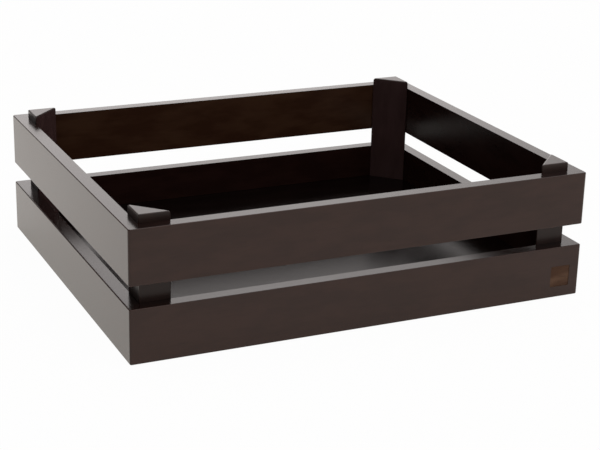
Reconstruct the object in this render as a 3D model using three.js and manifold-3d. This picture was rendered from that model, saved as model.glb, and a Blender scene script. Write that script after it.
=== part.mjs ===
// A wooden serving crate. Two tiers of mitred boards are glued and dowelled round four
// triangular corner posts, and the lower tier holds the floor panel in a groove. The posts
// stand proud of the top boards, and a crate stacked above drops over them.
// Millimetres, +Z up. The origin is the centre of the base, +X runs along the long side
// and the front faces -Y.

import * as THREE from 'three';
import { mergeVertices } from 'three/addons/utils/BufferGeometryUtils.js';
import Module from 'manifold-3d';

// Outside of the crate in plan
const crateLength = 350;
const crateWidth = 290;

// Boards, alike in section on all four sides of both tiers
const boardHeight = 39.5;
const boardThickness = 10;
const tierGap = 16;
const arrisRadius = 1;
const cornerRadius = 1.2; // sanded round the upright corners after the mitres are glued

// Corner posts, right-angled triangles in plan
const postLeg = 23;
const postRise = 6;
const postTopRadius = 1;
const postEdgeRadius = 0.5;
const postTipSetback = 0.7; // from where two faces would meet to the blunt tip between them
const postTipRadius = 3; // rounds the two tips at the top, seen square to the long face
const leastEdgeRadius = 0.2; // left on the upright edges where the rounded top runs out

// Floor panel, which lies high enough to clear the post tops of a crate below
const floorThickness = 5;
const stackClearance = 1;
const grooveDepth = 4;
const grooveClearance = 0.2; // above and below the panel
const grooveEndClearance = 0.5; // past the panel's edges, so that it can swell

// Dowels, one from each end of each board into the post there
const dowelDiameter = 5;
const dowelChamfer = 0.6;
const dowelClearance = 0.1;
const dowelEndClearance = 0.5;
const boardSkin = 4; // wood between a dowel hole and the board's outer face
const postSkin = 2; // wood between a dowel hole and the post's long face

// Shallow square branded into the lower front board, near its right-hand end
const recessSide = 16;
const recessDepth = 0.4;
const recessMargin = 8.4;
const recessCornerRadius = 0.8;

// Glue between mitres, between posts and boards, and under the posts
const glueLine = 0.1;

// Worked out from the sizes above
const upperTierBase = boardHeight + tierGap;
const floorBase = postRise + stackClearance;
const floorTop = floorBase + floorThickness;
const postBase = floorTop + glueLine;
const postHeight = upperTierBase + boardHeight + postRise - postBase;
const holeRadius = dowelDiameter / 2 + dowelClearance;
const boardHoleDepth = boardThickness - boardSkin;
const postHoleDepth = postLeg / 2 - holeRadius - postSkin;
const dowelLength = boardHoleDepth + glueLine + postHoleDepth - 2 * dowelEndClearance;

// Fineness of the facets
const arcDivisions = 3;
const topSteps = 4;
const dowelSides = 24;

const cutMargin = 2; // how far a cutting shape runs past the wood
const weldDistance = 1e-4;

const xAxis = new THREE.Vector3(1, 0, 0);
const yAxis = new THREE.Vector3(0, 1, 0);
const zAxis = new THREE.Vector3(0, 0, 1);

const wasm = await Module();
wasm.setup();

// Turns a closed geometry into a solid that can be cut.
function solidFrom(geometry) {
  const loose = geometry.index ? geometry.toNonIndexed() : geometry;
  const bare = new THREE.BufferGeometry();
  bare.setAttribute('position', loose.getAttribute('position'));
  const welded = mergeVertices(bare, weldDistance);
  return new wasm.Manifold(
    new wasm.Mesh({
      numProp: 3,
      vertProperties: welded.getAttribute('position').array,
      triVerts: new Uint32Array(welded.index.array),
    }),
  );
}

// Turns a cut solid back into a geometry with flat facets.
function geometryFrom(solid) {
  const { vertProperties, triVerts } = solid.getMesh();
  const indexed = new THREE.BufferGeometry();
  indexed.setAttribute('position', new THREE.BufferAttribute(vertProperties, 3));
  indexed.setIndex(new THREE.BufferAttribute(triVerts, 1));
  const geometry = indexed.toNonIndexed();
  geometry.computeVertexNormals();
  return geometry;
}

// Sweeps an outline, drawn along the directions u and v, from start along u x v.
function sweep(outline, length, start, u, v) {
  const options = { depth: length, bevelEnabled: false, curveSegments: arcDivisions };
  const along = new THREE.Vector3().crossVectors(u, v);
  const placed = new THREE.Matrix4().makeBasis(u, v, along).setPosition(start);
  return new THREE.ExtrudeGeometry(outline, options).applyMatrix4(placed);
}

// A rectangle from the origin to (width, height), its corners rounded.
function roundedRectangle(width, height, radius) {
  const outline = new THREE.Shape();
  outline.absarc(width - radius, radius, radius, -Math.PI / 2, 0);
  outline.absarc(width - radius, height - radius, radius, 0, Math.PI / 2);
  outline.absarc(radius, height - radius, radius, Math.PI / 2, Math.PI);
  outline.absarc(radius, radius, radius, Math.PI, 1.5 * Math.PI);
  return outline;
}

// A convex polygon, its points given anticlockwise, with every corner rounded.
function roundedPolygon(points, radius) {
  const outline = new THREE.Shape();
  points.forEach((corner, i) => {
    const before = points.at(i - 1);
    const after = points[(i + 1) % points.length];
    const arriving = corner.clone().sub(before).normalize();
    const leaving = after.clone().sub(corner).normalize();
    const inward = leaving.clone().sub(arriving).normalize();
    const halfAngle = Math.acos(inward.dot(leaving));
    const centre = corner.clone().addScaledVector(inward, radius / Math.sin(halfAngle));
    const from = Math.atan2(-arriving.x, arriving.y);
    const to = Math.atan2(-leaving.x, leaving.y);
    outline.absarc(centre.x, centre.y, radius, from, to);
  });
  return outline;
}

// Joins outlines of equally many points, one above the other, and closes both ends.
function loft(levels) {
  const corners = [];
  const count = levels[0].points.length;
  const at = (level, i) => {
    const point = levels[level].points[i % count];
    return [point.x, point.y, levels[level].z];
  };
  const last = levels.length - 1;
  for (let i = 0; i < count; i++) {
    for (let level = 0; level < last; level++) {
      corners.push(at(level, i), at(level, i + 1), at(level + 1, i + 1));
      corners.push(at(level, i), at(level + 1, i + 1), at(level + 1, i));
    }
    if (i > 0 && i < count - 1) {
      corners.push(at(0, 0), at(0, i + 1), at(0, i));
      corners.push(at(last, 0), at(last, i), at(last, i + 1));
    }
  }
  const geometry = new THREE.BufferGeometry();
  geometry.setAttribute('position', new THREE.Float32BufferAttribute(corners.flat(), 3));
  return geometry;
}

// Cutter for a dowel hole along Y, from y = from to y = to.
function dowelHole(x, from, to, z) {
  const cutter = new THREE.CylinderGeometry(holeRadius, holeRadius, to - from, dowelSides);
  return solidFrom(cutter.translate(x, (from + to) / 2, z));
}

// Height of a tier's dowels above its base: the middle of the face that the posts cover.
function dowelHeight(tier) {
  return (Math.max(floorTop - tier.base, 0) + boardHeight) / 2;
}

// Distance from the middle of a board to the dowel at either end, in the middle of a post.
function dowelReach(length) {
  return length / 2 - boardThickness - glueLine - postLeg / 2;
}

// Plan of a board. Its outer face lies along y = 0 and both ends are mitred at 45 degrees.
function mitredPlan(length) {
  const half = length / 2;
  const setback = glueLine / Math.SQRT2;
  const depth = boardThickness + cutMargin;
  const cornerX = half - cornerRadius;
  const arcEnd = -Math.PI / 4 - Math.asin(setback / (Math.SQRT2 * cornerRadius));
  const innerEnd = half - setback - depth;
  const outline = new THREE.Shape();
  outline.absarc(-cornerX, cornerRadius, cornerRadius, -Math.PI - arcEnd, -Math.PI / 2);
  outline.absarc(cornerX, cornerRadius, cornerRadius, -Math.PI / 2, arcEnd);
  outline.lineTo(innerEnd, depth);
  outline.lineTo(-innerEnd, depth);
  return outline;
}

// A board in its own frame: outer face at y = 0, inner face at +Y, lower edge at z = 0.
function boardSolid(length, tier) {
  const section = roundedRectangle(boardThickness, boardHeight, arrisRadius);
  const sectionStart = new THREE.Vector3(-length / 2, 0, 0);
  const planStart = new THREE.Vector3(0, 0, -cutMargin);
  const planHeight = boardHeight + 2 * cutMargin;
  let board = solidFrom(sweep(section, length, sectionStart, yAxis, zAxis)).intersect(
    solidFrom(sweep(mitredPlan(length), planHeight, planStart, xAxis, yAxis)),
  );
  for (const end of [-1, 1]) {
    const x = end * dowelReach(length);
    const mouth = boardThickness + cutMargin;
    board = board.subtract(dowelHole(x, boardSkin, mouth, dowelHeight(tier)));
  }
  return board;
}

// Cutter for the groove that holds the floor panel, along the inner face of a lower board.
function grooveSolid(length) {
  const height = floorThickness + 2 * grooveClearance;
  const groove = new THREE.BoxGeometry(length, grooveDepth + cutMargin, height);
  const y = boardThickness - grooveDepth + (grooveDepth + cutMargin) / 2;
  return solidFrom(groove.translate(0, y, (floorBase + floorTop) / 2));
}

// Cutter for the square recess in the outer face of the lower front board.
function recessSolid(length) {
  const outline = roundedRectangle(recessSide, recessSide, recessCornerRadius);
  const left = length / 2 - recessMargin - recessSide;
  const start = new THREE.Vector3(left, recessDepth, recessMargin);
  return solidFrom(sweep(outline, recessDepth + cutMargin, start, xAxis, zAxis));
}

// Plan of a post, drawn in from its three faces. The right angle is at the origin.
function postOutline(inset) {
  const tip = postLeg - inset * (1 + Math.SQRT2);
  const points = [
    new THREE.Vector2(inset, inset),
    new THREE.Vector2(tip, inset),
    new THREE.Vector2(inset, tip),
  ];
  const radius = Math.max(postEdgeRadius - inset, leastEdgeRadius);
  return roundedPolygon(points, radius).getPoints(arcDivisions);
}

// Envelope that blunts a post's two tips and rounds them at the top.
function bluntedTips() {
  const width = postLeg * Math.SQRT2 - 2 * postTipSetback;
  const outline = roundedRectangle(width, postHeight + postTipRadius, postTipRadius);
  const along = new THREE.Vector3(-1, 1, 0).normalize();
  const outwards = new THREE.Vector3(1, 1, 0).normalize();
  const start = new THREE.Vector3(0, 0, -postTipRadius);
  start.addScaledVector(along, -width / 2).addScaledVector(outwards, -cutMargin);
  return solidFrom(sweep(outline, postLeg + 2 * cutMargin, start, along, zAxis));
}

// A post in its own frame: the faces that meet the boards at x = 0 and y = 0, foot at z = 0.
function postSolid(tiers) {
  const levels = [{ z: 0, points: postOutline(0) }];
  for (let step = 0; step <= topSteps; step++) {
    const angle = (Math.PI / 2) * (step / topSteps);
    const z = postHeight - postTopRadius * (1 - Math.sin(angle));
    levels.push({ z, points: postOutline(postTopRadius * (1 - Math.cos(angle))) });
  }
  let post = solidFrom(loft(levels)).intersect(bluntedTips());
  for (const tier of tiers) {
    const z = tier.base + dowelHeight(tier) - postBase;
    const hole = dowelHole(postLeg / 2, -cutMargin, postHoleDepth, z);
    const otherHole = dowelHole(-postLeg / 2, -cutMargin, postHoleDepth, z);
    post = post.subtract(hole).subtract(otherHole.rotate([0, 0, -90]));
  }
  return post;
}

// A dowel along Y, from y = 0, with chamfered ends.
function dowelGeometry() {
  const radius = dowelDiameter / 2;
  const profile = [
    new THREE.Vector2(0, 0),
    new THREE.Vector2(radius - dowelChamfer, 0),
    new THREE.Vector2(radius, dowelChamfer),
    new THREE.Vector2(radius, dowelLength - dowelChamfer),
    new THREE.Vector2(radius - dowelChamfer, dowelLength),
    new THREE.Vector2(0, dowelLength),
  ];
  return new THREE.LatheGeometry(profile, dowelSides);
}

// A dark brown lacquer covers all the wood that shows, and the dowels are bare beech.
const lacquer = { color: '#2e221c', roughness: 0.35, metalness: 0 };
const glossLacquer = { color: '#1f1712', roughness: 0.2, metalness: 0 };
const bareBeech = { color: '#c8a377', roughness: 0.7, metalness: 0 };

function piece(name, geometry, finish, x, y, z) {
  const mesh = new THREE.Mesh(geometry, new THREE.MeshStandardMaterial(finish));
  mesh.name = name;
  mesh.position.set(x, y, z);
  return mesh;
}

const tiers = [
  { name: 'lower', base: 0 },
  { name: 'upper', base: upperTierBase },
];

// Going round anticlockwise. Each side starts at its left-hand end, seen from outside,
// with the post of that corner.
const sides = [
  { name: 'front', length: crateLength, distance: crateWidth / 2, post: 'front_left' },
  { name: 'right', length: crateWidth, distance: crateLength / 2, post: 'front_right' },
  { name: 'back', length: crateLength, distance: crateWidth / 2, post: 'back_right' },
  { name: 'left', length: crateWidth, distance: crateLength / 2, post: 'back_left' },
];

function boardGeometry(side, tier) {
  let board = boardSolid(side.length, tier);
  if (tier.name === 'lower') {
    board = board.subtract(grooveSolid(side.length));
    if (side.name === 'front') {
      board = board.subtract(recessSolid(side.length));
    }
  }
  return geometryFrom(board);
}

const crate = new THREE.Group();

const panelLength = crateLength - 2 * (boardThickness - grooveDepth + grooveEndClearance);
const panelWidth = crateWidth - 2 * (boardThickness - grooveDepth + grooveEndClearance);
const panel = new THREE.BoxGeometry(panelLength, panelWidth, floorThickness);
crate.add(piece('floor_panel', panel, glossLacquer, 0, 0, (floorBase + floorTop) / 2));

const post = geometryFrom(postSolid(tiers));
const postInset = boardThickness + glueLine;

sides.forEach((side, quarter) => {
  const group = new THREE.Group();
  group.rotation.z = (quarter * Math.PI) / 2;
  const postX = -side.length / 2 + postInset;
  const postY = -side.distance + postInset;
  group.add(piece(`corner_post_${side.post}`, post, lacquer, postX, postY, postBase));

  for (const tier of tiers) {
    const board = boardGeometry(side, tier);
    const boardName = `${tier.name}_${side.name}_board`;
    group.add(piece(boardName, board, lacquer, 0, -side.distance, tier.base));

    const dowelY = -side.distance + boardSkin + dowelEndClearance;
    const dowelZ = tier.base + dowelHeight(tier);
    const reach = dowelReach(side.length);
    const dowelName = `dowel_${tier.name}_${side.name}`;
    group.add(piece(`${dowelName}_1`, dowelGeometry(), bareBeech, -reach, dowelY, dowelZ));
    group.add(piece(`${dowelName}_2`, dowelGeometry(), bareBeech, reach, dowelY, dowelZ));
  }
  crate.add(group);
});

export default crate;
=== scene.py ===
import math

import bmesh
import bpy
from mathutils import Matrix, Vector


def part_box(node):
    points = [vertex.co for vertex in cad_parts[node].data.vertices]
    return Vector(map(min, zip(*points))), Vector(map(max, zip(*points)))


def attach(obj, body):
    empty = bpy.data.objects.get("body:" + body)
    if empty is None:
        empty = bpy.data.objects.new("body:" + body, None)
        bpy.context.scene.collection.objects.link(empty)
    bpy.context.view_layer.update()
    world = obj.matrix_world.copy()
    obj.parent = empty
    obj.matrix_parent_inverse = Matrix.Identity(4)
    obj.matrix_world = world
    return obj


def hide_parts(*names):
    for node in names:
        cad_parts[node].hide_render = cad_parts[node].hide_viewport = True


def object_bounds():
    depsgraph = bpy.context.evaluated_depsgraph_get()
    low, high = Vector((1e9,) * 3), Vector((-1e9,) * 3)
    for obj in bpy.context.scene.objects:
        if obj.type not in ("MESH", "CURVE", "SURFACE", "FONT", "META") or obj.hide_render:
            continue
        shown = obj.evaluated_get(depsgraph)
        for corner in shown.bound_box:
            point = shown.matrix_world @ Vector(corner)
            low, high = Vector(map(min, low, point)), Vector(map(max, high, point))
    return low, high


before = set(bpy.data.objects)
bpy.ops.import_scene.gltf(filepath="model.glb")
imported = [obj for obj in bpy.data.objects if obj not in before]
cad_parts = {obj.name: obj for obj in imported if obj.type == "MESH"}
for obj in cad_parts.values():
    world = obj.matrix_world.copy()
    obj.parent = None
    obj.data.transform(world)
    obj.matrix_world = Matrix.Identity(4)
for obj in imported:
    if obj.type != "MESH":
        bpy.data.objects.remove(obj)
cad_low, cad_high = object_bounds()


# Boards
# Two tiers of four hardwood boards, mitred and glued at the corners. Their outer edges are
# sanded round. They are stained dark brown and sprayed with a satin lacquer over the grain.
arris_radii = {"lower": 0.00083, "upper": 0.00077}
arris_segments = 6
inner_arris_radius = 0.00003  # all but sharp
corner_radii = {"lower": 0.0015, "upper": 0.0021}
corner_segments = 8
mitre_gap = 0.00003
groove_depth = 0.004
groove_clearance = 0.0002
flush = 1e-6
square_on = 0.99  # least cosine between a flat face and the axis that it faces along

sides = ["front", "right", "back", "left"]
floor_low, floor_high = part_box("floor_panel")


def math_node(tree, operation, first, second=None, clamp=False):
    """Adds one sum to a node tree. Its terms are numbers or the outputs of other nodes."""
    node = tree.nodes.new("ShaderNodeMath")
    node.operation = operation
    node.use_clamp = clamp
    for socket, value in zip(node.inputs, (first, second)):
        if isinstance(value, (int, float)):
            socket.default_value = value
        elif value is not None:
            tree.links.new(value, socket)
    return node.outputs[0]


def fade(tree, value, low, high, to_low=0.0, to_high=1.0):
    """Adds a smooth change from to_low to to_high while the value goes from low to high."""
    node = tree.nodes.new("ShaderNodeMapRange")
    node.interpolation_type = "SMOOTHSTEP"
    tree.links.new(value, node.inputs["Value"])
    for socket, number in (("From Min", low), ("From Max", high),
                           ("To Min", to_low), ("To Max", to_high)):
        node.inputs[socket].default_value = number
    return node.outputs["Result"]


# How fast each feature of the wood changes, per millimetre along the grain and across it
wander_scale = (0.004, 0.018, 0.018)
stain_scale = (0.028, 0.085, 0.085)
fibre_scale = (0.03, 1.3, 1.3)
pore_scale = (0.07, 3.4, 3.4)

stain_range = (0.32, 0.68)  # noise between which the stain goes from thick to thin
pore_range = (0.61, 0.72)  # noise between which a pore opens
ring_width = 2.1
ring_wander = 26.0  # how far the rings stray from round, in millimetres
ring_contrast = 0.18
late_wood_start = 0.35  # shares of a ring
late_wood_end = 0.92
fibre_contrast = 0.45
fibre_height = 0.3  # against the depth of a pore


def wood_group():
    """Solid wood with its trunk along X, in millimetres: uneven stain, growth rings, fibres and
    fine open pores."""
    group = bpy.data.node_groups.new("wood_figure", "ShaderNodeTree")
    group.interface.new_socket("Vector", in_out="INPUT", socket_type="NodeSocketVector")
    for name, value in (("Ring Width", ring_width), ("Ring Contrast", ring_contrast),
                        ("Fibre Contrast", fibre_contrast)):
        socket = group.interface.new_socket(name, in_out="INPUT", socket_type="NodeSocketFloat")
        socket.default_value = value
    for name in ("Tone", "Cloud", "Pores", "Height"):
        group.interface.new_socket(name, in_out="OUTPUT", socket_type="NodeSocketFloat")
    nodes, links = group.nodes, group.links
    given = nodes.new("NodeGroupInput")
    result = nodes.new("NodeGroupOutput")

    def noise(scale, detail, roughness=0.5):
        scaled = nodes.new("ShaderNodeVectorMath")
        scaled.operation = "MULTIPLY"
        links.new(given.outputs["Vector"], scaled.inputs[0])
        scaled.inputs[1].default_value = scale
        node = nodes.new("ShaderNodeTexNoise")
        node.inputs["Scale"].default_value = 1.0
        node.inputs["Detail"].default_value = detail
        node.inputs["Roughness"].default_value = roughness
        links.new(scaled.outputs[0], node.inputs["Vector"])
        return node.outputs["Fac"]

    place = nodes.new("ShaderNodeSeparateXYZ")
    links.new(given.outputs["Vector"], place.inputs[0])
    wander = math_node(group, "MULTIPLY", noise(wander_scale, 2.0), ring_wander)
    across = math_node(group, "ADD", place.outputs["Y"], wander)
    squares = math_node(group, "ADD", math_node(group, "MULTIPLY", across, across),
                        math_node(group, "MULTIPLY", place.outputs["Z"], place.outputs["Z"]))
    turns = math_node(group, "DIVIDE", math_node(group, "SQRT", squares),
                      given.outputs["Ring Width"])
    rings = math_node(group, "FRACT", turns)
    late = math_node(group, "MULTIPLY", fade(group, rings, late_wood_start, late_wood_end),
                     fade(group, rings, late_wood_end, 1.0, 1.0, 0.0))
    cloud = fade(group, noise(stain_scale, 2.0, 0.55), *stain_range)
    fibres = noise(fibre_scale, 3.0, 0.6)
    pores = fade(group, noise(pore_scale, 2.0), *pore_range)

    ring_part = math_node(group, "MULTIPLY", late, given.outputs["Ring Contrast"])
    fibre_part = math_node(group, "MULTIPLY", math_node(group, "SUBTRACT", fibres, 0.5),
                           given.outputs["Fibre Contrast"])
    uneven = math_node(group, "ADD", cloud, fibre_part)
    tone = math_node(group, "SUBTRACT", uneven, ring_part, clamp=True)
    raised = math_node(group, "MULTIPLY", fibres, fibre_height)
    relief = math_node(group, "SUBTRACT", raised, pores)
    for name, value in (("Tone", tone), ("Cloud", cloud), ("Pores", pores), ("Height", relief)):
        links.new(value, result.inputs[name])
    return group


wood_figure = wood_group()

# Stain on the wood, from where it lies thickest to where it lies thinnest. The inner and amber
# colours also carry painted shade and painted light.
outer_stain = (0.0325, 0.0150, 0.0110), (0.0402, 0.0188, 0.0137)
edge_stain = (0.0090, 0.0030, 0.0022), (0.0130, 0.0046, 0.0034)
# Darker stain for the insides of the boards, partly painted shade inside the crate
inner_stain_with_painted_shade = (0.0130, 0.0048, 0.0036), (0.0190, 0.0076, 0.0058)
# Lighter amber stain for the inside of the upper back board, which faces the lit front of the room:
# partly stain, partly painted light
amber_stain_with_painted_light = (0.0330, 0.0135, 0.0070), (0.0480, 0.0225, 0.0120)

gloss_spread = 0.012  # by which the roughness rises and falls with the stain
relief_depth = 0.0002


def finished_wood(name, turn, pith, stain, roughness, ior, coat=0.0, pore_shade=0.8, relief=0.012):
    """Wood under a clear finish. turn brings the length of the grain onto X, pith is where the
    middle of the trunk lay, in millimetres, and coat is how much of a top coat lies over all."""
    material = bpy.data.materials.new(name)
    material.use_nodes = True
    nodes, links = material.node_tree.nodes, material.node_tree.links
    shader = nodes["Principled BSDF"]
    place = nodes.new("ShaderNodeTexCoord")
    mapping = nodes.new("ShaderNodeMapping")
    mapping.inputs["Scale"].default_value = (1000, 1000, 1000)  # metres to millimetres
    mapping.inputs["Rotation"].default_value = turn
    mapping.inputs["Location"].default_value = pith
    links.new(place.outputs["Object"], mapping.inputs["Vector"])
    wood = nodes.new("ShaderNodeGroup")
    wood.node_tree = wood_figure
    links.new(mapping.outputs["Vector"], wood.inputs["Vector"])

    colour = nodes.new("ShaderNodeMix")
    colour.data_type = "RGBA"
    colour.inputs["A"].default_value = (*stain[0], 1)
    colour.inputs["B"].default_value = (*stain[1], 1)
    links.new(wood.outputs["Tone"], colour.inputs["Factor"])
    pored = nodes.new("ShaderNodeMix")
    pored.data_type = "RGBA"
    pored.blend_type = "MULTIPLY"
    pored.inputs["B"].default_value = (pore_shade, pore_shade, pore_shade, 1)
    links.new(wood.outputs["Pores"], pored.inputs["Factor"])
    links.new(colour.outputs["Result"], pored.inputs["A"])
    links.new(pored.outputs["Result"], shader.inputs["Base Color"])

    gloss = nodes.new("ShaderNodeMapRange")
    gloss.inputs["To Min"].default_value = roughness - gloss_spread
    gloss.inputs["To Max"].default_value = roughness + gloss_spread
    links.new(wood.outputs["Cloud"], gloss.inputs["Value"])
    links.new(gloss.outputs["Result"], shader.inputs["Roughness"])
    shader.inputs["IOR"].default_value = ior
    shader.inputs["Coat Weight"].default_value = coat
    shader.inputs["Coat Roughness"].default_value = roughness
    shader.inputs["Coat IOR"].default_value = ior

    bump = nodes.new("ShaderNodeBump")
    bump.inputs["Strength"].default_value = relief
    bump.inputs["Distance"].default_value = relief_depth
    links.new(wood.outputs["Height"], bump.inputs["Height"])
    links.new(bump.outputs["Normal"], shader.inputs["Normal"])
    return material


def bevel(bm, edges, radius, segments):
    """Rounds edges to a radius."""
    bmesh.ops.bevel(bm, geom=edges, offset=radius, offset_type="OFFSET", segments=segments,
                    profile=0.5, affect="EDGES", material=-1, clamp_overlap=True)


def bisect(bm, point, normal, clear=False):
    """Cuts along a plane and returns the edges that lie in it. clear takes off what lies past it."""
    everything = bm.verts[:] + bm.edges[:] + bm.faces[:]
    cut = bmesh.ops.bisect_plane(bm, geom=everything, dist=flush, plane_co=point, plane_no=normal,
                                 clear_outer=clear)
    return [item for item in cut["geom_cut"] if isinstance(item, bmesh.types.BMEdge)]


def rises(edge):
    """Whether an edge runs up, not level."""
    return abs(edge.verts[0].co.z - edge.verts[1].co.z) > flush


inner_index = 1  # places of a board's materials, after its outer one
edge_index = 2


def board(bm, length, thickness, height, arris_radius, corner_radius, groove=None):
    """A board in its own frame: outer face on y = 0, inner face at +Y, lower edge at z = 0."""
    bmesh.ops.create_cube(bm, size=1)
    bmesh.ops.scale(bm, vec=(length, thickness, height), verts=bm.verts)
    bmesh.ops.translate(bm, vec=(0, thickness / 2, height / 2), verts=bm.verts)
    outer = [e for e in bm.edges if rises(e) and all(v.co.y < flush for v in e.verts)]
    bevel(bm, outer, corner_radius, corner_segments)
    for least, most, radius in ((-flush, corner_radius + flush, arris_radius),
                                (thickness - flush, thickness + flush, inner_arris_radius)):
        level = [e for e in bm.edges if not rises(e) and all(least < v.co.y < most for v in e.verts)]
        bevel(bm, level, radius, arris_segments)
    if groove:
        for z in groove:
            bisect(bm, (0, 0, z), (0, 0, 1))
        strip = [f for f in bm.faces if f.normal.y > square_on
                 and groove[0] < f.calc_center_median().z < groove[1]]
        made = bmesh.ops.extrude_face_region(bm, geom=strip)
        bmesh.ops.delete(bm, geom=strip, context="FACES_ONLY")
        moved = [item for item in made["geom"] if isinstance(item, bmesh.types.BMVert)]
        bmesh.ops.translate(bm, vec=(0, -groove_depth, 0), verts=moved)
    for end in (-1, 1):
        mitre = bisect(bm, (end * (length / 2 - mitre_gap), 0, 0), (end, 1, 0), clear=True)
        bmesh.ops.edgeloop_fill(bm, edges=mitre)
    bmesh.ops.recalc_face_normals(bm, faces=bm.faces)
    for face in bm.faces:
        if face.normal.y > square_on:
            face.material_index = inner_index
        elif abs(face.normal.z) > square_on:
            face.material_index = edge_index


def place_side(bm, quarter, distance, base):
    """Moves a piece from a side's own frame to its place, quarter turns round from the front."""
    turn = Matrix.Rotation(quarter * math.pi / 2, 4, "Z")
    bmesh.ops.transform(bm, matrix=turn @ Matrix.Translation((0, -distance, base)), verts=bm.verts)


def make_piece(name, bm, materials, node):
    """Turns a bmesh into a piece that stands for a node."""
    mesh = bpy.data.meshes.new(name)
    bm.to_mesh(mesh)
    bm.free()
    piece = bpy.data.objects.new(name, mesh)
    bpy.context.scene.collection.objects.link(piece)
    for material in materials:
        mesh.materials.append(material)
    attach(piece, "root")
    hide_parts(node)
    return piece


def cut(piece, bm):
    """Cuts the closed shapes of a bmesh out of a piece. Cut faces keep the cutter's material."""
    mesh = bpy.data.meshes.new("cutter")
    bm.to_mesh(mesh)
    bm.free()
    cutter = bpy.data.objects.new("cutter", mesh)
    for material in piece.data.materials:
        mesh.materials.append(material)
    bpy.context.scene.collection.objects.link(cutter)
    piece.modifiers.clear()
    difference = piece.modifiers.new("cut", "BOOLEAN")
    difference.operation = "DIFFERENCE"
    difference.solver = "EXACT"
    difference.object = cutter
    whole = piece.data
    seen = piece.evaluated_get(bpy.context.evaluated_depsgraph_get())
    piece.data = bpy.data.meshes.new_from_object(seen)
    piece.modifiers.clear()
    piece.data.name = piece.name
    bpy.data.meshes.remove(whole)
    bpy.data.objects.remove(cutter)
    bpy.data.meshes.remove(mesh)


crease_angle = math.radians(35)


def shade(piece):
    """Shades a piece smooth over its rounded edges and flat elsewhere."""
    piece.data.shade_smooth()
    piece.data.set_sharp_from_angle(angle=crease_angle)
    weighted = piece.modifiers.new("even shading", "WEIGHTED_NORMAL")
    weighted.keep_sharp = True


hole_clearance = 0.0001
hole_end_clearance = 0.0005
hole_sides = 32


def drill(piece, dowels):
    """Drills a piece for the dowels named, with room round each and past its ends."""
    bm = bmesh.new()
    for name in dowels:
        low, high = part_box(name)
        size = high - low
        axis = max(range(3), key=lambda i: size[i])
        radius = min(size) / 2 + hole_clearance
        made = bmesh.ops.create_cone(bm, cap_ends=True, segments=hole_sides, radius1=radius,
                                     radius2=radius, depth=size[axis] + 2 * hole_end_clearance)
        along = Vector([i == axis for i in range(3)])
        lie = along.to_track_quat("Z", "Y").to_matrix().to_4x4()
        place = Matrix.Translation((low + high) / 2) @ lie
        bmesh.ops.transform(bm, matrix=place, verts=made["verts"])
    cut(piece, bm)


outer_gloss = 0.2
inner_gloss = 0.26
outer_ior = 1.25
inner_ior = 1.14

for tier in ("lower", "upper"):
    for quarter, side in enumerate(sides):
        node = f"{tier}_{side}_board"
        low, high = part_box(node)
        along, over = (0, 1) if quarter % 2 == 0 else (1, 0)
        groove = None
        if tier == "lower":
            groove = (floor_low.z - groove_clearance, floor_high.z + groove_clearance)
        bm = bmesh.new()
        board(bm, cad_high[along] - cad_low[along], high[over] - low[over], high.z - low.z,
              arris_radii[tier], corner_radii[tier], groove)
        place_side(bm, quarter, cad_high[over], low.z)
        number = quarter + len(sides) * (tier == "upper")
        turn = (0, 0, -quarter * math.pi / 2)
        # Each board comes from its own place in the trunk
        pith = (137.0 * number, 9.0 + 17.0 * (number % 3), -38.0 - 11.0 * number)
        # The insides are coloured darker than the outsides as painted shade, and the upper back
        # board's inside lighter as painted light
        stain = amber_stain_with_painted_light if node == "upper_back_board" else inner_stain_with_painted_shade
        outer = finished_wood(f"stained_{node}", turn, pith, outer_stain, outer_gloss, outer_ior,
                              coat=1.0)
        inner = finished_wood(f"inside_{node}", turn, pith, stain, inner_gloss, inner_ior)
        edge = finished_wood(f"edge_{node}", turn, pith, edge_stain, outer_gloss, outer_ior,
                             coat=1.0)
        piece = make_piece(f"stained_{node}", bm, [outer, inner, edge], node)
        drill(piece, [f"dowel_{tier}_{side}_{end}" for end in (1, 2)])
        shade(piece)


# Floor panel
# A thin wooden panel under a smooth, very dark brown gloss lacquer. It lies loose in a groove
# run round the inside of the lower boards.
panel_edge_radius = 0.0004
panel_edge_segments = 2
panel_pith = (30.0, 11.0, -60.0)
panel_stain = (0.0024, 0.0011, 0.0009), (0.0038, 0.0018, 0.0015)
panel_roughness = 0.21
panel_ior = 1.38

bm = bmesh.new()
bmesh.ops.create_cube(bm, size=1)
bmesh.ops.scale(bm, vec=floor_high - floor_low, verts=bm.verts)
bmesh.ops.translate(bm, vec=(floor_low + floor_high) / 2, verts=bm.verts)
bevel(bm, bm.edges[:], panel_edge_radius, panel_edge_segments)
lacquered = finished_wood("lacquered_floor", (0, 0, 0), panel_pith, panel_stain,
                          panel_roughness, panel_ior)
shade(make_piece("lacquered_floor_panel", bm, [lacquered], "floor_panel"))


# Posts
# Four triangular hardwood posts stand on the floor panel, glued and dowelled to the boards of
# both tiers. Their rounded tops stand proud, so that a crate stacked above drops over them.
post_tip_setback = 0.0007
post_tip_radius = 0.002
post_top_radius = 0.001
post_top_segments = 8
post_edge_radius = 0.0005
post_edge_segments = 4
least_tip_width = 0.0003
tip_radius_share = 0.7  # most of a tip's width that the radius of its two edges takes

# Stain and gloss on the faces against the boards, on the long face and on the top. The long face,
# inside the crate, is coloured lighter than the boards as painted light.
leg_stain = (0.0140, 0.0048, 0.0030), (0.0200, 0.0074, 0.0046)
leg_gloss = 0.3
# Lighter than the boards' outer stain: partly stain, partly painted light on the posts' inward faces
long_stain_with_painted_light = (0.0440, 0.0235, 0.0225), (0.0540, 0.0295, 0.0285)
end_stain = (0.0140, 0.0062, 0.0048), (0.0260, 0.0122, 0.0095)
end_gloss = 0.3
end_ior = 1.28

corners = ["front_left", "front_right", "back_right", "back_left"]


def drawn_in(radius, depth):
    """How far a top edge rounded to a radius is drawn in, at a depth below the top."""
    rise = max(radius - depth, 0)
    return radius - math.sqrt(radius ** 2 - rise ** 2)


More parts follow.
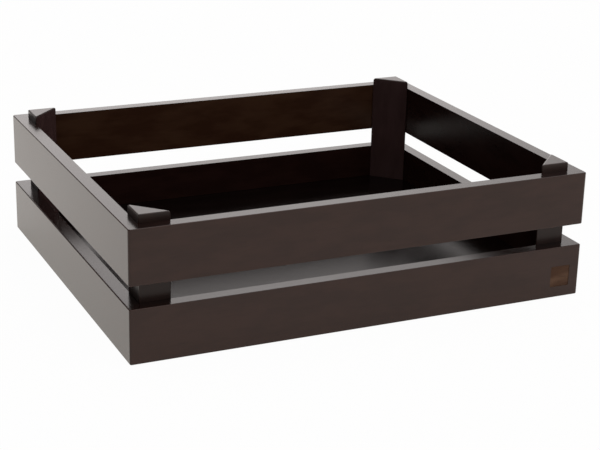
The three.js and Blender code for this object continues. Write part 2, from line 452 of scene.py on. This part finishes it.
def post_outline(leg, inset, setback):
    """Plan of a post with rounded corners: long face along X, right angle at +Y. It is drawn in
    by the inset from its three faces, and its two tips are cut back by the setback."""
    half = leg / math.sqrt(2)
    top = half - inset * math.sqrt(2)
    reach = min(half - setback, top - inset - least_tip_width)
    radius = min(post_edge_radius, tip_radius_share * (top - reach - inset))
    points = []
    # Each corner, with the two directions in degrees that its rounding turns between
    for x, y, first, last in ((0, top, 45, 135), (-reach, top - reach, 135, 180),
                              (-reach, inset, 180, 270), (reach, inset, 270, 360),
                              (reach, top - reach, 360, 405)):
        middle = math.radians((first + last) / 2)
        back = radius / math.cos(math.radians((last - first) / 2))
        for step in range(post_edge_segments + 1):
            angle = math.radians(first + (last - first) * step / post_edge_segments)
            points.append((x - back * math.cos(middle) + radius * math.cos(angle),
                           y - back * math.sin(middle) + radius * math.sin(angle)))
    return points


def post(bm, leg, height):
    """A post with its long face on y = 0, its right angle at +Y and its foot at z = 0. Its top is
    drawn in step by step, because a bevel would stop short at the narrow tips."""
    foot = [bm.verts.new((x, y, 0)) for x, y in post_outline(leg, 0, post_tip_setback)]
    top = bm.faces.new(foot)
    depths = [post_tip_radius, (post_tip_radius + post_top_radius) / 2]
    depths += [post_top_radius * (1 - math.sin(math.pi / 2 * step / post_top_segments))
               for step in range(post_top_segments + 1)]
    for depth in depths:
        top = bmesh.ops.extrude_discrete_faces(bm, faces=[top])["faces"][0]
        outline = post_outline(leg, drawn_in(post_top_radius, depth),
                               post_tip_setback + drawn_in(post_tip_radius, depth))
        for vert, (x, y) in zip(top.verts, outline):
            vert.co = (x, y, height - depth)
    bm.faces.new(foot[::-1])


end_index = 1  # places of a post's materials, after that of its legs
long_index = 2
end_slope = 0.7  # least cosine between straight up and a face that shows end grain
long_slope = 0.9  # least cosine between the long face's direction and a face with its stain

for quarter, corner in enumerate(corners):
    node = f"corner_post_{corner}"
    low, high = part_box(node)
    # The rounded tips end short of where the faces would meet
    leg = (high.x - low.x + post_tip_setback / math.sqrt(2)
           + post_edge_radius * (math.sqrt(2) - 1))
    height = high.z - low.z
    bm = bmesh.new()
    post(bm, leg, height)
    bm.normal_update()
    for face in bm.faces:
        if face.normal.z > end_slope:
            face.material_index = end_index
        elif face.normal.y < -long_slope:
            face.material_index = long_index
    x = 1 if "right" in corner else -1
    y = 1 if "back" in corner else -1
    right_angle = Vector((high.x if x > 0 else low.x, high.y if y > 0 else low.y, low.z))
    outwards = Matrix.Rotation(math.atan2(y, x) - math.pi / 2, 4, "Z")
    place = (Matrix.Translation(right_angle) @ outwards
             @ Matrix.Translation((0, -leg / math.sqrt(2), 0)))
    bmesh.ops.transform(bm, matrix=place, verts=bm.verts)
    upright_grain = (0, math.pi / 2, 0)
    pith = (40.0 * quarter, 21.0 - 9.0 * quarter, 17.0 + 13.0 * quarter)
    legs = finished_wood(f"stained_{node}", upright_grain, pith, leg_stain, leg_gloss, outer_ior,
                         coat=1.0)
    long_face = finished_wood(f"long_face_{node}", upright_grain, pith, long_stain_with_painted_light, outer_gloss,
                              outer_ior, coat=1.0)
    end_grain = finished_wood(f"end_grain_{node}", upright_grain, pith, end_stain, end_gloss,
                              end_ior, coat=1.0)
    piece = make_piece(f"stained_{node}", bm, [legs, end_grain, long_face], node)
    dowels = [f"dowel_{tier}_{side}_{end}" for tier in ("lower", "upper")
              for side, end in ((sides[quarter], 1), (sides[quarter - 1], 2))]
    drill(piece, dowels)
    shade(piece)


# Scorched square
# A small bare square burnt into the lower front board near its right-hand end, through the
# lacquer and just into the wood.
recess_side = 0.016
recess_margin = 0.0084
recess_depth = 0.0004
recess_corner_radius = 0.0008
recess_corner_segments = 5
cut_margin = 0.002
scorch = (0.0800, 0.0430, 0.0270), (0.1440, 0.0860, 0.0560)
scorch_pith = (12.0, 30.0, -45.0)
bare_roughness = 0.6

marked = bpy.data.objects["stained_lower_front_board"]
bare = finished_wood("scorched_wood", (0, 0, 0), scorch_pith, scorch, bare_roughness, inner_ior,
                     pore_shade=0.6, relief=0.06)
marked.data.materials.append(bare)
bare_index = len(marked.data.materials) - 1
bm = bmesh.new()
bmesh.ops.create_cube(bm, size=1)
bmesh.ops.scale(bm, vec=(recess_side, recess_depth + cut_margin, recess_side), verts=bm.verts)
bevel(bm, [e for e in bm.edges if abs(e.verts[0].co.y - e.verts[1].co.y) > flush],
      recess_corner_radius, recess_corner_segments)
middle = (cad_high.x - recess_margin - recess_side / 2,
          cad_low.y + (recess_depth - cut_margin) / 2,
          cad_low.z + recess_margin + recess_side / 2)
bmesh.ops.translate(bm, vec=middle, verts=bm.verts)
for face in bm.faces:
    face.material_index = bare_index
cut(marked, bm)
shade(marked)


# Dowels
# Plain round dowels of bare beech, glued in, one at each end of each board. They join it to
# the post there, out of sight.
beech_colour = (0.46, 0.27, 0.13), (0.66, 0.44, 0.24)
beech_pith = (0, 6.0, 9.0)
beech_ior = 1.45


def bare_beech(name, turn):
    """Beech without a finish, which turn brings onto X along the grain."""
    return finished_wood(name, turn, beech_pith, beech_colour, bare_roughness, beech_ior,
                         pore_shade=0.7, relief=0.2)


along_y = bare_beech("bare_beech_across", (0, 0, math.pi / 2))
along_x = bare_beech("bare_beech_along", (0, 0, 0))
for name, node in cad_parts.items():
    if name.startswith("dowel_"):
        low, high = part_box(name)
        node.data.materials.clear()
        node.data.materials.append(along_x if high.x - low.x > high.y - low.y else along_y)


# Studio
# A white table in a room with a lit ceiling, a lit panel behind the crate on the right, and
# walls that are light in front and on the right and dark elsewhere.
table_size = 6.0
table_drop = 0.0002  # below the crate, so that no two faces share a plane
table_colour = (0.9, 0.9, 0.9, 1)
white = (1.0, 1.0, 1.0, 1)
table_glow = (1.0, 0.95, 0.88, 1)  # as reflections show it
glow_shares = {"Is Camera Ray": 0.97, "Is Glossy Ray": 0.6}  # the rest is the table's own colour
room_colour = (1.0, 0.945, 0.93, 1)

table_mesh = bpy.data.meshes.new("table")
bm = bmesh.new()
bmesh.ops.create_grid(bm, x_segments=1, y_segments=1, size=table_size)
bmesh.ops.translate(bm, vec=(0, 0, -table_drop), verts=bm.verts)
bm.to_mesh(table_mesh)
bm.free()
table = bpy.data.objects.new("table", table_mesh)
bpy.context.scene.collection.objects.link(table)
paper = bpy.data.materials.new("white_paper")
paper.use_nodes = True
tree = paper.node_tree
nodes, links = tree.nodes, tree.links
nodes.remove(nodes["Principled BSDF"])
diffuse = nodes.new("ShaderNodeBsdfDiffuse")
diffuse.inputs["Color"].default_value = table_colour
path = nodes.new("ShaderNodeLightPath")
tint = nodes.new("ShaderNodeMix")
tint.data_type = "RGBA"
tint.inputs["A"].default_value = table_glow
tint.inputs["B"].default_value = white
links.new(path.outputs["Is Camera Ray"], tint.inputs["Factor"])
glow = nodes.new("ShaderNodeEmission")
glow.inputs["Strength"].default_value = 1.0
links.new(tint.outputs["Result"], glow.inputs["Color"])
shares = [math_node(tree, "MULTIPLY", path.outputs[ray], share)
          for ray, share in glow_shares.items()]
mix = nodes.new("ShaderNodeMixShader")
links.new(math_node(tree, "ADD", *shares), mix.inputs["Fac"])
links.new(diffuse.outputs[0], mix.inputs[1])
links.new(glow.outputs[0], mix.inputs[2])
links.new(mix.outputs[0], nodes["Material Output"].inputs["Surface"])
table_mesh.materials.append(paper)

world = bpy.data.worlds.new("studio")
bpy.context.scene.world = world
world.use_nodes = True
tree = world.node_tree
nodes, links = tree.nodes, tree.links
room = nodes["Background"]
room.inputs["Color"].default_value = room_colour
place = nodes.new("ShaderNodeTexCoord")
direction = nodes.new("ShaderNodeSeparateXYZ")
links.new(place.outputs["Generated"], direction.inputs[0])
x, y, z = direction.outputs

# Light of the room by direction: X to the right, Y to the back, Z up
ceiling = fade(tree, z, 0.55, 0.95, 0.0, 1.2)
walls = math_node(tree, "MULTIPLY", fade(tree, y, -0.4, 0.3, 1.0, 0.1),
                  fade(tree, x, -0.6, 0.7, 0.15, 0.85))
across = math_node(tree, "MULTIPLY", fade(tree, x, -0.3, 0.1, 0.0, 1.35),
                   fade(tree, x, 0.35, 0.65, 1.0, 0.55))
behind = math_node(tree, "MULTIPLY", fade(tree, y, 0.35, 0.85), fade(tree, z, 0.4, 0.7, 1.0, 0.0))
panel = math_node(tree, "MULTIPLY", across, behind)
above_and_behind = math_node(tree, "ADD", ceiling, panel)
links.new(math_node(tree, "ADD", above_and_behind, walls), room.inputs["Strength"])
seen = nodes.new("ShaderNodeBackground")
seen.inputs["Strength"].default_value = 1.0
seen.inputs["Color"].default_value = white
mix = nodes.new("ShaderNodeMixShader")
path = nodes.new("ShaderNodeLightPath")
links.new(path.outputs["Is Camera Ray"], mix.inputs["Fac"])
links.new(room.outputs[0], mix.inputs[1])
links.new(seen.outputs[0], mix.inputs[2])
links.new(mix.outputs[0], nodes["World Output"].inputs["Surface"])


# Camera
# It stands in front of the crate's left-hand corner and looks down on it. Its focal length
# and image width are in pixels of the picture.
image_width = 600
focal_length = 1550
sensor_width = 36
nearest = 0.01
camera_place = (-0.4668, -1.0345, 0.4329)
yaw, pitch, roll = (math.radians(angle) for angle in (24.88, 19.62, 1.41))

camera = bpy.data.objects.new("camera", bpy.data.cameras.new("camera"))
bpy.context.scene.collection.objects.link(camera)
bpy.context.scene.camera = camera
camera.data.sensor_width = sensor_width
camera.data.lens = focal_length / image_width * sensor_width
camera.data.clip_start = nearest
turn = (Matrix.Rotation(-yaw, 4, "Z") @ Matrix.Rotation(math.pi / 2 - pitch, 4, "X")
        @ Matrix.Rotation(roll, 4, "Z"))
camera.matrix_world = Matrix.Translation(camera_place) @ turn

bpy.context.scene.view_settings.view_transform = "Standard"
